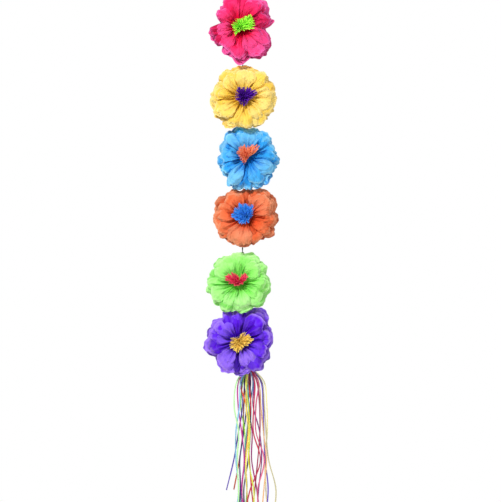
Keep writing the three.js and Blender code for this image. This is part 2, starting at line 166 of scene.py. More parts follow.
# The plies of tissue on each neck from the back to the front: the solid that a ply belongs to, its
# rim as a share of the flower's, its start in front of the wire in millimetres, how far its rim cups
# forward for each unit of radius, how far its middle swells forward in millimetres, how far its sides
# lean back for each unit of radius, and the depth of the notches between its petals as a share
PLIES = [
    {"part": "back", "rim": 1.03, "start": 6.3, "cup": 0.02, "dome": 0, "lean": 0.64, "notch": 0.2},
    {"part": "back", "rim": 1.01, "start": 6.9, "cup": 0.03, "dome": 2, "lean": 0.52, "notch": 0.22},
    {"part": "back", "rim": 0.98, "start": 7.5, "cup": 0.04, "dome": 4, "lean": 0.42, "notch": 0.24},
    {"part": "middle", "rim": 0.98, "start": 8.1, "cup": 0.05, "dome": 6, "lean": 0.32, "notch": 0.3},
    {"part": "middle", "rim": 0.96, "start": 8.7, "cup": 0.07, "dome": 8, "lean": 0.22, "notch": 0.34},
    {"part": "middle", "rim": 0.93, "start": 9.3, "cup": 0.09, "dome": 10, "lean": 0.14, "notch": 0.38},
    {"part": "front", "rim": 0.92, "start": 9.9, "cup": 0.11, "dome": 12, "lean": 0.06, "notch": 0.42},
    {"part": "front", "rim": 0.84, "start": 10.5, "cup": 0.14, "dome": 13, "lean": 0, "notch": 0.46},
]
NECK_RADIUS = 3.2 * MM
NECK_HOLE = 2.9 * MM
TISSUE_THICKNESS = 0.16 * MM
PETAL_SHARP_ANGLE = 20

# The grid of a ply, whose steps outward lie a little closer at the rim
STEPS_ROUND = 240
FEWEST_STEPS_ACROSS = 12
STEPS_OUT = 26
STEP_POWER = 0.9

# The lowest petals lean and lift forward and the highest drop back, so that a flower clears the next
# one when the swag swings. Folds, cup and swell are also lower there than at the sides. The swell
# stands highest at the share of the way out whose power is a half.
LOWER_LEAN = 0.16
LOWER_LIFT = 6 * MM
UPPER_DROP = 2.5 * MM
LOWER_FOLD_SHARE = 0.6
UPPER_FOLD_SHARE = 0.4
UPPER_CUP_LOSS = 0.4
UPPER_SWELL_LOSS = 0.5
SWELL_POWER = 2.2

# The rim: ragged in broad and in fine waves, and from ply to ply toward the front more like a round
# of one reach, which it would be after so many plies, but for the most rounding that it may have
RAGGED_SHARE = 0.024
FINE_RAGGED_SHARE = 0.02
PLIES_TO_ROUND = 20
MOST_ROUNDING = 0.3
ROUND_REACH = 0.97

# Folds in the paper: broad and narrow pleats round the flower, which wander by these shares of a
# pleat, petals that tilt, a rim that is ruffled, curled and a little turned, and dents of two sizes
PLEATS = 23
NARROW_PLEATS = 52
PLEAT_WANDER = 0.4
PLEAT_SLANT = 0.3
NARROW_WANDER = 0.6
PLEAT_HEIGHT = 2.8 * MM
NARROW_PLEAT_HEIGHT = 1.3 * MM
TILT_HEIGHT = 7 * MM
RUFFLE_HEIGHT = 2.2 * MM
CURL_HEIGHT = 3 * MM
CURL_POWER = 5
RIM_TURN = 0.05
DENT_SIZE = 22 * MM
DENT_HEIGHT = -2.2 * MM
SMALL_DENT_SIZE = 9 * MM
SMALL_DENT_HEIGHT = 0.8 * MM
SEED_STEPS = (7.3, 3.1, 1.7)

# Where a fold or a tone grows from nothing and where it fades, as shares of the way to the rim, and
# how much of it is lost by fading
LAP_GROWS = (0.03, 0.8)
PETAL_GROWS = (0.02, 0.7)
PLEAT_GROWS = (0.05, 0.35)
PLEAT_FADES = (0.7, 1)
PLEAT_LOSS = 0.5
NARROW_GROWS = (0, 0.12)
NARROW_FADES = (0.4, 0.9)
NARROW_LOSS = 0.8
CREASE_GROWS = (0, 0.3)
PLEAT_SHADE_FADES = (0.35, 0.85)
PLEAT_SHADE_LOSS = 0.7
PALE_GROWS = (0.2, 0.6)

# What makes the paper look pale: patches of a size, at random, ridges, as painted highlights, and the
# tone of a pale petal, painted light where given on the front layer and at random on the back. The
# tone of a deep petal takes its paper toward the colour of the folds, their painted shade.
PATCH_SIZE = 34 * MM
PATCH_RANGE = (-0.1, 0.9)
PATCH_SHARE = 0.15
RIDGE_HIGHLIGHT_SHARE = 0.2
PALE_TONE_SHARE = 0.75
PALE_TONE_POWER = 1.5
DEEP_TONE_SHARE = 0.9

# Ribbons: their section, with its corners as shares of half the width, the columns and rows of the
# bundle in its binding, the depth over which the tail opens out below it, and the drops in
# millimetres at which the sways below stand
RIBBON_WIDTH = 3.2 * MM
RIBBON_THICKNESS = 0.24 * MM
RIBBON_CORNERS = (-1, -0.4, 0.4, 1)
RIBBON_COLUMNS = 3
COLUMN_STEP = 3.8 * MM
DEPTH_STEP = 1.0 * MM
BINDING_HEIGHT = 6.9 * MM
RIBBON_TOP_MARGIN = 1.5 * MM
FAN_DEPTH = 35.7 * MM
SWAY_DROPS = [35, 90, 150, 215, 285, 355, 420]
ROUTE_POINTS = 33
RIBBON_STATIONS = 161
RIBBON_SHARP_ANGLE = 40

# A ribbon turns to and fro about its own line: the counts of its waves with their angles in radians,
# and where along it the turning grows from nothing
TWIST_WAVES = [((1.5, 3), 0.55), ((4, 7), 0.25)]
TWIST_GROWS = (0.02, 0.14)

# Colour of each ribbon, and its sideways sways from the tail's middle line, in millimetres, at the
# drops above. A ribbon with fewer sways is a shorter one.
RIBBONS = [
    ("pale_green", "b9f2a4", [-27, -33, -23, -26, -23, -25, -29]),
    ("sky_blue_left", "86c8ee", [-18, -21, -29, -29, -23, -32, -39]),
    ("magenta_left", "c4259a", [-23, -24, -16, -10, -16, -6, -2]),
    ("orange", "f0602c", [-19, -6, -3, -9, -15, -11, -6]),
    ("violet_left", "5a3fb0", [-16, -14, -23, -34, -51]),
    ("lime", "a6ee4e", [-13, -18, -9, -8, -4, -11, -18]),
    ("navy_left", "2a2a78", [-10, -5, -11, -20, -19, -25, -29]),
    ("rust", "c1512c", [-9, -11, -13, -21, -34]),
    ("yellow_green", "d8e24a", [-6, -1, 3, 0, 12, 11, 17]),
    ("yellow", "f8df63", [-4, -6, 0, -6, -4, 3, 7]),
    ("teal", "4f9aa0", [-2, 0, -4, -10, -4, 0, -6]),
    ("red", "d92a2a", [0, 5, -2, 2, 7, 14, 10]),
    ("navy_middle", "24205e", [3, 5, 4, -1, -11, -6, 0]),
    ("magenta_wide", "b51a8e", [5, -1, 8, 7, 19, 26, 30]),
    ("sky_blue_right", "7db7e8", [10, 3, 0, -8, -16, -18, -13]),
    ("lilac", "9a3f9e", [12, 10, 25, 30, 23, 19, 23]),
    ("crimson_cross", "c02048", [14, 12, 11, 27, 3, -11, -16]),
    ("crimson", "a01c50", [19, 25, 26, 21, 14, 7, 3]),
    ("rose", "e0608c", [22, 17, 17, 36, 21, 25, 30]),
    ("tan", "f0bd86", [23, 28, 34, 41, 35, 30, 35]),
    ("violet_right", "6a4cc0", [28, 33, 35, 38, 45, 37, 26]),
    ("olive", "cfc79a", [30, 36, 40, 46, 63, 56, 51]),
    ("pale_yellow", "f6efb0", [35, 42, 43, 38, 40, 44, 37]),
]


def colour(hex_digits):
    """Linear colour of an sRGB colour that is written as six hex digits."""
    channels = [int(hex_digits[place:place + 2], 16) / 255 for place in (0, 2, 4)]
    linear = [c / 12.92 if c <= 0.04045 else ((c + 0.055) / 1.055) ** 2.4 for c in channels]
    return (*linear, 1)


def add_node(tree, kind, inputs=None, **settings):
    """Adds a node, with its settings, and its inputs as values or as links from other sockets."""
    node = tree.nodes.new(kind)
    for name, value in settings.items():
        setattr(node, name, value)
    for socket, value in (inputs or {}).items():
        if isinstance(value, bpy.types.NodeSocket):
            tree.links.new(value, node.inputs[socket])
        else:
            node.inputs[socket].default_value = value
    return node


def new_material(name):
    material = bpy.data.materials.new(name)
    material.use_nodes = True
    material.node_tree.nodes.clear()
    return material


def new_piece(name, mesh, body, replaced, material):
    """Puts a mesh in the scene as a piece that stands for CAD nodes and moves with their body."""
    piece = bpy.data.objects.new(name, mesh)
    scene.collection.objects.link(piece)
    mesh.materials.clear()
    mesh.materials.append(material)
    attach(piece, body)
    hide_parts(*replaced)
    return piece


# Camera: square on to the swag and level with the middle of the view, which has this height there
VIEW_HEIGHT = 1.155
VIEW_MIDDLE_X = 0.0184
VIEW_MIDDLE_Z = -0.6095
LENS = 120
SENSOR = 36
camera_data = bpy.data.cameras.new("camera")
camera_data.lens = LENS
camera_data.sensor_width = SENSOR
camera = bpy.data.objects.new("camera", camera_data)
camera.location = (VIEW_MIDDLE_X, -VIEW_HEIGHT * LENS / SENSOR, VIEW_MIDDLE_Z)
camera.rotation_euler = (math.radians(90), 0, 0)
scene.collection.objects.link(camera)
scene.camera = camera


def smooth_path(knots, stations):
    """Points on the centripetal Catmull-Rom curve through the knots, as in the part's source."""
    knots = np.array(knots)
    padded = np.vstack([2 * knots[0] - knots[1], knots, 2 * knots[-1] - knots[-2]])
    steps = np.linalg.norm(np.diff(padded, axis=0), axis=1) ** 0.5
    points = []
    for place in np.linspace(0, len(knots) - 1, stations):
        span = min(int(place), len(knots) - 2)
        t = place - span
        p0, p1, p2, p3 = padded[span:span + 4]
        d0, d1, d2 = steps[span:span + 3]
        start = ((p1 - p0) / d0 - (p2 - p0) / (d0 + d1) + (p2 - p1) / d1) * d1
        end = ((p2 - p1) / d1 - (p3 - p1) / (d1 + d2) + (p3 - p2) / d2) * d1
        points.append(
            p1 + start * t
            + (3 * (p2 - p1) - 2 * start - end) * t ** 2
            + (2 * (p1 - p2) + start + end) * t ** 3
        )
    return np.array(points)


def smoothstep(value, low, high):
    """Share from 0 to 1 that a value has gone from low to high, level at both ends."""
    share = np.clip((value - low) / (high - low), 0, 1)
    return share * share * (3 - 2 * share)


# Ribbons

tail_middle = next(j for j in frame["joints"] if j["name"] == "ribbon_tail_sideways")["pos_m"][0]
ribbon_rows = math.ceil(len(RIBBONS) / RIBBON_COLUMNS)


def ribbon_route(order, sways, stations):
    """Middle line of a ribbon, from its top in the binding to its loose end."""
    column, row = divmod(order, ribbon_rows)
    top = (column - (RIBBON_COLUMNS - 1) / 2) * COLUMN_STEP
    bound = BINDING_HEIGHT + RIBBON_TOP_MARGIN
    knots = [(top, 0), (top, -bound)]
    knots += [(sway * MM, -bound - drop * MM) for sway, drop in zip(sways, SWAY_DROPS)]
    flat = smooth_path(knots, stations)
    fan = smoothstep(-flat[:, 1] - BINDING_HEIGHT, 0, FAN_DEPTH)
    in_binding = (row - (ribbon_rows - 1) / 2) * DEPTH_STEP
    in_tail = (row * RIBBON_COLUMNS + column - (len(RIBBONS) - 1) / 2) * DEPTH_STEP
    depth = in_binding * (1 - fan) + in_tail * fan
    return np.column_stack([tail_middle + flat[:, 0], depth, ribbon_top + flat[:, 1]])


def ribbon_mesh(name, route, chance):
    """A flat strip along the route, which turns a little about its own line as it hangs."""
    along = np.gradient(route, axis=0)
    along /= np.linalg.norm(along, axis=1, keepdims=True)
    place = np.linspace(0, 1, len(route))
    waves = [(chance.uniform(*counts), size) for counts, size in TWIST_WAVES]
    twist = sum(
        size * np.sin(TURN * count * place + chance.uniform(0, TURN)) for count, size in waves
    ) * smoothstep(place, *TWIST_GROWS)
    level = np.cross(along, (0, 1, 0))
    level /= np.linalg.norm(level, axis=1, keepdims=True)
    through = np.cross(along, level)
    turn = twist[:, None]
    across = level * np.cos(turn) + through * np.sin(turn)
    face = np.cross(along, across)
    half_width = RIBBON_WIDTH / 2
    half_thick = RIBBON_THICKNESS / 2
    section = [(w, -1) for w in RIBBON_CORNERS] + [(w, 1) for w in reversed(RIBBON_CORNERS)]
    rings = [
        route + across * (w * half_width) + face * (t * half_thick) for w, t in section
    ]
    points = np.stack(rings, axis=1).reshape(-1, 3)
    count = len(section)
    faces = []
    corners = []
    for station in range(len(route) - 1):
        for side in range(count):
            after = (side + 1) % count
            low = station * count
            high = low + count
            faces.append((low + side, high + side, high + after, low + after))
            low_v = place[station]
            high_v = place[station + 1]
            u, u_after = (section[side][0] + 1) / 2, (section[after][0] + 1) / 2
            corners += [(u, low_v), (u, high_v), (u_after, high_v), (u_after, low_v)]
    for cap in (range(count), range(len(points) - 1, len(points) - count - 1, -1)):
        faces.append(tuple(cap))
        corners += [(0.5, 0)] * count
    mesh = bpy.data.meshes.new(name)
    mesh.from_pydata(points.tolist(), [], faces)
    layer = mesh.uv_layers.new(name="strip")
    layer.data.foreach_set("uv", np.array(corners).ravel())
    mesh.shade_smooth()
    mesh.set_sharp_from_angle(angle=math.radians(RIBBON_SHARP_ANGLE))
    return mesh


# Woven polyester satin ribbon, 3.2 mm wide: a soft gloss, with slightly darker and lighter streaks
# along its length and with lengthwise ribs that are drawn 0.3 mm apart, coarser than the real threads,
# so that they show
RIBS_ACROSS = 11
STREAK_WIDTH = 0.5 * MM
STREAK_LENGTH = 7 * MM
STREAK_DARK = 0.7
STREAK_BRIGHT = 1.05


def satin(name, hex_digits):
    """Satin of one colour, on the ribbon's own map: across it, then along it."""
    material = new_material(name)
    tree = material.node_tree
    uv = add_node(tree, "ShaderNodeUVMap", uv_map="strip")
    place = add_node(tree, "ShaderNodeSeparateXYZ", {"Vector": uv.outputs["UV"]})
    ribs = add_node(
        tree, "ShaderNodeMath", {0: place.outputs["X"], 1: TURN * RIBS_ACROSS}, operation="MULTIPLY"
    )
    rib_height = add_node(tree, "ShaderNodeMath", {0: ribs.outputs[0]}, operation="SINE")
    # Streaks along the ribbon take its colour down to 0.7 and up to 1.05 of itself
    streak_counts = (RIBBON_WIDTH / STREAK_WIDTH, SWAY_DROPS[-1] * MM / STREAK_LENGTH, 0)
    streak_place = add_node(
        tree, "ShaderNodeVectorMath", {0: uv.outputs["UV"], 1: streak_counts}, operation="MULTIPLY"
    )
    streaks = add_node(
        tree,
        "ShaderNodeTexNoise",
        {"Vector": streak_place.outputs[0], "Scale": 1, "Detail": 3},
    )
    base = colour(hex_digits)
    tone = add_node(
        tree,
        "ShaderNodeMix",
        {
            0: streaks.outputs["Fac"],
            6: tuple(STREAK_DARK * c for c in base[:3]) + (1,),
            7: tuple(min(STREAK_BRIGHT * c, 1) for c in base[:3]) + (1,),
        },
        data_type="RGBA",
    )
    bump = add_node(
        tree,
        "ShaderNodeBump",
        {"Height": rib_height.outputs[0], "Strength": 0.35, "Distance": 0.05 * MM},
    )
    shader = add_node(
        tree,
        "ShaderNodeBsdfPrincipled",
        {
            "Base Color": tone.outputs[2],
            "Roughness": 0.42,
            "Sheen Weight": 0.1,
            "Sheen Roughness": 0.4,
            "Normal": bump.outputs["Normal"],
        },
    )
    add_node(tree, "ShaderNodeOutputMaterial", {"Surface": shader.outputs["BSDF"]})
    return material


for order, (name, hex_digits, sways) in enumerate(RIBBONS):
    node = f"ribbon_{name}"
    ribbon_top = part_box(node)[1].z
    chance = random.Random(order)
    mesh = ribbon_mesh(f"{node}_satin", ribbon_route(order, sways, RIBBON_STATIONS), chance)
    piece = new_piece(
        f"{node}_satin", mesh, "ribbon_tail", [node], satin(f"satin {name}", hex_digits)
    )
    route = ribbon_route(order, sways, ROUTE_POINTS)


# Petals


def through_shares(shares, angles):
    """A smooth closed curve through shares that stand at equal steps of a turn."""
    place = angles / TURN * len(shares)
    step = np.floor(place).astype(int)
    t = place - step
    p0, p1, p2, p3 = [np.take(shares, step + offset, mode="wrap") for offset in (-1, 0, 1, 2)]
    return p1 + 0.5 * t * (
        p2 - p0 + t * (2 * p0 - 5 * p1 + 4 * p2 - p3 + t * (3 * (p1 - p2) + p3 - p0))
    )


def wander(chance, angles, lowest, highest):
    """A random wave round the flower, made of the given counts of cycles in a turn."""
    total = 0
    for cycles in range(lowest, highest + 1):
        total = total + chance.uniform(0.4, 1) * np.cos(cycles * angles + chance.uniform(0, TURN))
    return total / math.sqrt(highest - lowest + 1)


def zigzag(turns):
    """A fold like an accordion's, from -1 to 1, with one ridge and one valley in each turn."""
    return 2 * np.abs(2 * np.mod(turns, 1) - 1) - 1


def crumple(grid, size, seed):
    """Random dents of a size over a grid of points, with sharp creases between them."""
    offset = Vector([seed * step for step in SEED_STEPS])
    values = [noise.noise(Vector(point) / size + offset) for point in grid.reshape(-1, 3)]
    return 1 - 3 * np.abs(np.array(values).reshape(grid.shape[:2]))


# A petal's edge laps over its neighbour's and turns back under itself: the share of the petal that
# is turned back, the lap as a share of the narrower petal, the share of it that goes under, and the
# heights of the edge on top, of the valley and of the edge below
TURNED_SHARE = 0.16
LAP_SHARE = 0.15
UNDER_LAP_SHARE = 0.7
EDGE_HEIGHT = 4 * MM
VALLEY_HEIGHT = -7 * MM
UNDER_HEIGHT = VALLEY_HEIGHT / 2

# A petal's end: its reach in the middle, and how square its outline is
TIP_REACH = 1.02
TIP_POWER = 2.4
CORNER_LOSS = 0.05
CORNER_NOTCH_SHARE = 0.3

# How petals differ: in degrees, heights and shares, for all plies of a solid together and by each
# ply's own. The crease is the painted shade across a petal, from valley to ridge and back. The tone
# spreads stray the front petals' painted light and shade a little, and give the back petals tones at
# random.
PARTING_SPREAD = (-2.5, 2.5)
NOTCH_SPREAD = (0.5, 1.4)
HEIGHT_SPREAD = (-0.8, 1)
REACH_SPREAD = (-0.25, 0.15)
OWN_REACH_SPREAD = (-0.12, 0.12)
TILT_SHARE = 0.8
OWN_TILT_SHARE = 0.4
TONE_SPREAD = (-0.2, 0.2)
BACK_TONE_SPREAD = (-0.9, 0.8)
CREASE_SHADES = (-1, 0.1, 0.6, 0.1, -1)


def petal_stations(partings, tones, notch, shared, own):
    """Places round one ply, with the values there of the petal that each is on. The plies of one
    solid share the first chance, because they are folded together, and stray by their own. A paler
    petal laps over a deeper one, which lies lower."""
    count = len(partings)
    partings = [math.radians(parting + own.uniform(*PARTING_SPREAD)) for parting in partings]
    if tones:
        laps = [1 if tones[petal - 1] > tones[petal] else -1 for petal in range(count)]
    else:
        laps = [shared.choice((-1, 1)) for _ in range(count)]
    notches = [1 - notch * shared.uniform(*NOTCH_SPREAD) for _ in range(count)]
    widths = [
        (partings[(petal + 1) % count] - partings[petal]) % TURN for petal in range(count)
    ]
    lap_angles = [
        LAP_SHARE * min(widths[petal - 1], widths[petal]) for petal in range(count)
    ]
    rows = {name: [] for name in ("angle", "lap", "height", "reach", "tilt", "pale", "crease")}
    for petal in range(count):
        after = (petal + 1) % count
        half = widths[petal] / 2
        steps = max(FEWEST_STEPS_ACROSS, round(STEPS_ROUND * widths[petal] / TURN))
        place = np.linspace(-1, 1, steps, endpoint=False)
        folds = [-1, TURNED_SHARE - 1, 0, 1 - TURNED_SHARE, 1]
        over_left = laps[petal] < 0
        over_right = laps[after] > 0
        left_lap = lap_angles[petal]
        right_lap = lap_angles[after]
        lap = [
            -laps[petal] * left_lap,
            -TURNED_SHARE * half - left_lap if over_left else -UNDER_LAP_SHARE * left_lap,
            0,
            TURNED_SHARE * half + right_lap if over_right else UNDER_LAP_SHARE * right_lap,
            -laps[after] * right_lap,
        ]
        sunk = VALLEY_HEIGHT * min(tones[petal], 0) if tones else 0
        height = [
            VALLEY_HEIGHT,
            EDGE_HEIGHT if over_left else UNDER_HEIGHT,
            shared.uniform(*HEIGHT_SPREAD) * EDGE_HEIGHT - sunk,
            EDGE_HEIGHT if over_right else UNDER_HEIGHT,
            VALLEY_HEIGHT,
        ]
        stray = shared.uniform(*REACH_SPREAD) + own.uniform(*OWN_REACH_SPREAD)
        tip = TIP_REACH + notch * stray
        corner = tip * (1 - CORNER_NOTCH_SHARE * notch - CORNER_LOSS)
        across = np.minimum(np.abs(place) / (1 - TURNED_SHARE), 1)
        tucked = np.clip((np.abs(place) - 1 + TURNED_SHARE) / TURNED_SHARE, 0, 1)
        border = np.where(place < 0, notches[petal], notches[after])
        reach = tip - (tip - corner) * across ** TIP_POWER
        tilt = TILT_SHARE * shared.uniform(-1, 1) + OWN_TILT_SHARE * own.uniform(-1, 1)
        # A petal's tone: painted light and shade, as given, on the front layer, and at random on the back
        if tones:
            tone = tones[petal] + own.uniform(*TONE_SPREAD)
        else:
            tone = own.uniform(*BACK_TONE_SPREAD)
        rows["angle"].append(partings[petal] + half * (place + 1))
        rows["lap"].append(np.interp(place, folds, lap))
        rows["height"].append(np.interp(place, folds, height))
        rows["reach"].append(reach * (1 - tucked) + np.minimum(border, corner) * tucked)
        rows["tilt"].append(tilt * (1 - place ** 4))
        rows["pale"].append(np.full(steps, tone))
        rows["crease"].append(np.interp(place, folds, CREASE_SHADES))
    return {name: np.concatenate(values)[:, None] for name, values in rows.items()}


def ply_grid(flower, order):
    """Middle surface of one ply, as points round the flower and out to the rim, with its folds."""
    ply = PLIES[order]
    own = random.Random(flower["seed"] * 100 + order)
    layer = ("back", "middle", "front").index(ply["part"])
    shared = random.Random(flower["seed"] * 10 + layer)
    is_front = ply["part"] == "front"
    partings = flower["front_partings" if is_front else "partings"]
    tones = flower["front_light_and_shade"] if is_front else None
    petals = petal_stations(partings, tones, ply["notch"], shared, own)
    share = np.linspace(0, 1, STEPS_OUT)[None, :]
    flat_angle = petals["angle"]
    angle = flat_angle + petals["lap"] * smoothstep(share, *LAP_GROWS)
    rim_angle = angle[:, -1:]

    # The rim: the flower's outline, the petals' rounded ends and a ragged edge
    outline = through_shares(flower["rim_shares"], np.mod(rim_angle, TURN))
    rounding = min(order / PLIES_TO_ROUND, MOST_ROUNDING)
    outline = outline * (1 - rounding) + ROUND_REACH * rounding
    ragged = RAGGED_SHARE * wander(own, flat_angle, 9, 20)
    ragged = ragged + FINE_RAGGED_SHARE * wander(own, flat_angle, 26, 50)
    rim = FLOWER_RADIUS * ply["rim"] * (outline * petals["reach"] + ragged)
    radius = NECK_HOLE + (rim - NECK_HOLE) * share ** STEP_POWER

    # Forward of the wire: the cup and swell, the lean of sides and lower petals, folds and dents
    side = np.cos(angle) ** 2
    low = np.maximum(-np.sin(angle), 0) ** 2
    high = np.maximum(np.sin(angle), 0) ** 2
    open_share = side + LOWER_FOLD_SHARE * low + UPPER_FOLD_SHARE * high
    lean = radius * (LOWER_LEAN * low - ply["lean"] * side ** 2)
    lean = lean + share ** 2 * (LOWER_LIFT * low - UPPER_DROP * high)
    swell = ply["dome"] * MM * (1 - UPPER_SWELL_LOSS * high)
    swell = swell * np.sin(math.pi * share ** SWELL_POWER)
    cup = ply["cup"] * rim * share * (1 - UPPER_CUP_LOSS * high) + swell
    turns = flat_angle / TURN
    strayed = PLEATS * turns + PLEAT_WANDER * wander(own, flat_angle, 3, 7)
    pleats = zigzag(strayed + PLEAT_SLANT * share)
    narrow = zigzag(NARROW_PLEATS * turns + NARROW_WANDER * wander(own, flat_angle, 3, 7))
    pleat_size = 1 - PLEAT_LOSS * smoothstep(share, *PLEAT_FADES)
    pleat_size = pleat_size * smoothstep(share, *PLEAT_GROWS)
    narrow_size = 1 - NARROW_LOSS * smoothstep(share, *NARROW_FADES)
    narrow_size = narrow_size * smoothstep(share, *NARROW_GROWS)
    folds = open_share * (
        petals["height"] * smoothstep(share, *PETAL_GROWS)
        + PLEAT_HEIGHT * pleat_size * pleats
        + NARROW_PLEAT_HEIGHT * narrow_size * narrow
        + TILT_HEIGHT * share ** 2 * petals["tilt"]
    )
    ruffle = RUFFLE_HEIGHT * wander(own, flat_angle, 14, 26)
    curl = CURL_HEIGHT * wander(own, flat_angle, 3, 8)
    rim_waves = open_share * share ** CURL_POWER * (ruffle + curl)
    turned = angle + RIM_TURN * share * wander(own, flat_angle, 2, 5)
    forward = ply["start"] * MM + cup + lean + folds + rim_waves
    grid = np.stack([radius * np.cos(turned), -forward, radius * np.sin(turned)], axis=2)
    dents = share * (
        DENT_HEIGHT * crumple(grid, DENT_SIZE, flower["seed"] + layer)
        + SMALL_DENT_HEIGHT * crumple(grid, SMALL_DENT_SIZE, flower["seed"] - layer)
    )
    grid[:, :, 1] += dents * open_share

    # Tones: painted shade in creases and on deep petals; pale at random on patches, and painted
    # highlights on ridges and painted light on pale petals
    pleat_shade = 0.5 + pleats * (1 - PLEAT_SHADE_LOSS * smoothstep(share, *PLEAT_SHADE_FADES))
    depth = np.minimum(petals["crease"] * smoothstep(share, *CREASE_GROWS), pleat_shade)
    depth = depth + DEEP_TONE_SHARE * np.minimum(petals["pale"], 0)
    patches = smoothstep(crumple(grid, PATCH_SIZE, own.uniform(0, 99)), *PATCH_RANGE)
    lit_ridges = 0.5 + 0.25 * pleats + 0.25 * narrow
    pale_patches_and_light = (
        PATCH_SHARE * patches
        + RIDGE_HIGHLIGHT_SHARE * lit_ridges ** 3
        + PALE_TONE_SHARE * np.maximum(petals["pale"], 0) ** PALE_TONE_POWER
    )
    return grid, depth, pale_patches_and_light * smoothstep(share, *PALE_GROWS)


# A length that stands in for none, so that no normal is divided by zero
NO_LENGTH = 1e-9


def closed_shell(grid, thickness):
    """Corners of the quads of a thin closed sheet on a grid that runs round and outward."""
    around = np.roll(grid, -1, axis=0) - np.roll(grid, 1, axis=0)
    outward = np.gradient(grid, axis=1)
    normals = np.cross(outward, around)
    normals /= np.maximum(np.linalg.norm(normals, axis=2, keepdims=True), NO_LENGTH)
    points = np.concatenate(
        [(grid + side * normals * thickness / 2).reshape(-1, 3) for side in (1, -1)]
    )
    rounds, outs = grid.shape[:2]
    a, r = [index.ravel() for index in np.meshgrid(np.arange(rounds), np.arange(outs - 1))]
    edge = np.arange(rounds)
    rim = np.full(rounds, outs - 1)
    hole = np.zeros(rounds, dtype=int)
    front, back = 0, 1
    quads = [
        [(a, r, front), (a, r + 1, front), (a + 1, r + 1, front), (a + 1, r, front)],
        [(a, r, back), (a + 1, r, back), (a + 1, r + 1, back), (a, r + 1, back)],
        [(edge, rim, front), (edge, rim, back), (edge + 1, rim, back), (edge + 1, rim, front)],
        [(edge, hole, front), (edge + 1, hole, front), (edge + 1, hole, back), (edge, hole, back)],
    ]
    faces = []
    uvs = []
    for corners in quads:
        faces.append(
            np.stack([side * rounds * outs + (a % rounds) * outs + r for a, r, side in corners], 1)
        )
        uvs.append(
            np.stack([np.stack([a / rounds, r / (outs - 1)], 1) for a, r, side in corners], 1)
        )
    return points, np.concatenate(faces), np.concatenate(uvs).reshape(-1, 2)


def petal_mesh(name, flower, part, hub):
    """The plies of one solid of a flower, as closed sheets in one mesh."""
    points, faces, uvs = [], [], []
    tones = {"fold": [], "pale": []}
    count = 0
    for order, ply in enumerate(PLIES):
        if f"{ply['part']}_petals" != part:
            continue
        grid, depth, pale_patches_and_light = ply_grid(flower, order)
        ply_points, ply_faces, ply_uvs = closed_shell(grid + np.array(hub), TISSUE_THICKNESS)
        points.append(ply_points)
        faces.append(ply_faces + count)
        uvs.append(ply_uvs)
        tones["fold"].append(np.tile(depth.ravel(), 2))
        tones["pale"].append(np.tile(pale_patches_and_light.ravel(), 2))
        count += len(ply_points)
    mesh = bpy.data.meshes.new(name)
    mesh.from_pydata(np.concatenate(points).tolist(), [], np.concatenate(faces).tolist())
    layer = mesh.uv_layers.new(name="ply")
    layer.data.foreach_set("uv", np.concatenate(uvs).ravel())
    for tone, values in tones.items():
        mesh.attributes.new(tone, "FLOAT", "POINT").data.foreach_set("value", np.concatenate(values))
    mesh.shade_smooth()
    mesh.set_sharp_from_angle(angle=math.radians(PETAL_SHARP_ANGLE))
    return mesh


# Dyed tissue paper, torn from thin crisp sheets: matt, and light comes through it. Its colour is
# deeper by the heart, painted shade where the plies overlap, and paler toward the rim, painted light
# that comes through the single ply there. Painted shade darkens it in the folds and on deep petals,
# and painted highlights and painted light make it pale on ridges and pale petals, as do patches at
# random. Its crinkles run out from the heart, some 75 in a turn with finer ones between, drawn coarser
# than the real ones so that they show.
MOST_PALE = 0.8
MOST_PAINTED_SHADE = 0.85
GLOW_SHARE = 0.25
CRINKLE_RATE = 12
CRINKLE_STRETCH = 0.5


